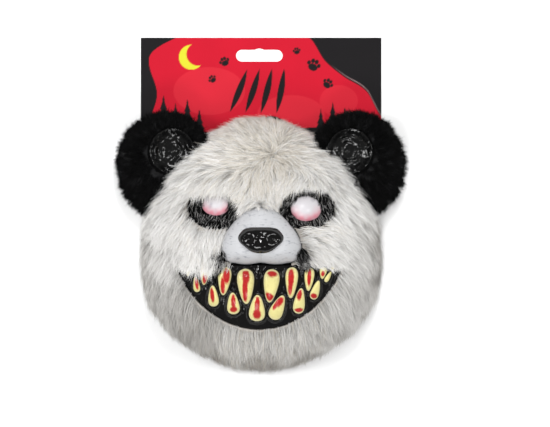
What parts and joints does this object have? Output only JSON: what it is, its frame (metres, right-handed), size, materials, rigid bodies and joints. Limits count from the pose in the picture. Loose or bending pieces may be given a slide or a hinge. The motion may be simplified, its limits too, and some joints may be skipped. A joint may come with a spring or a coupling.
{
  "type": "bear mask on a hanging card",
  "caption": "Front-of-head bear mask with long white fur, round black ears, a moulded snout, bulging eyes and a wide toothed grin, on a flat card with a peg slot.",
  "frame": {"origin": "on the surface that the card lies on, midway between the ears and midway from the card's top edge to the fur at the chin", "axes": "+X to the viewer's right, +Y to the top of the head, +Z out of the face"},
  "size_m": [0.2864, 0.3362, 0.125],
  "materials": {
    "black_latex": "glossy moulded latex",
    "white_latex": "painted latex with fine scratches",
    "white_fur": "long-pile faux fur",
    "black_fur": "long-pile faux fur",
    "tooth_paint": "painted latex, pale yellow with red",
    "eye_paint": "painted latex, cloudy white with pink rims",
    "elastic": "woven elastic",
    "printed_card": "printed card, red and black"
  },
  "bodies": {
    "root": {"latex_shell": "black_latex", "face_fur": "white_fur", "snout": "white_latex", "nose": "black_latex", "mouth": "black_latex", "tooth_upper_1": "tooth_paint", "tooth_upper_2": "tooth_paint", "tooth_upper_3": "tooth_paint", "tooth_upper_4": "tooth_paint", "tooth_upper_5": "tooth_paint", "tooth_upper_6": "tooth_paint", "tooth_upper_7": "tooth_paint", "tooth_upper_8": "tooth_paint", "tooth_upper_9": "tooth_paint", "tooth_lower_1": "tooth_paint", "tooth_lower_2": "tooth_paint", "tooth_lower_3": "tooth_paint", "tooth_lower_4": "tooth_paint", "tooth_lower_5": "tooth_paint", "tooth_lower_6": "tooth_paint", "tooth_lower_7": "tooth_paint", "tooth_lower_8": "tooth_paint", "eye_left": "eye_paint", "eye_right": "eye_paint", "ear_fur_left": "black_fur", "ear_fur_right": "black_fur", "ear_cup_left": "black_latex", "ear_cup_right": "black_latex", "head_strap": "elastic", "hang_card": "printed_card"}
  },
  "joints": []
}
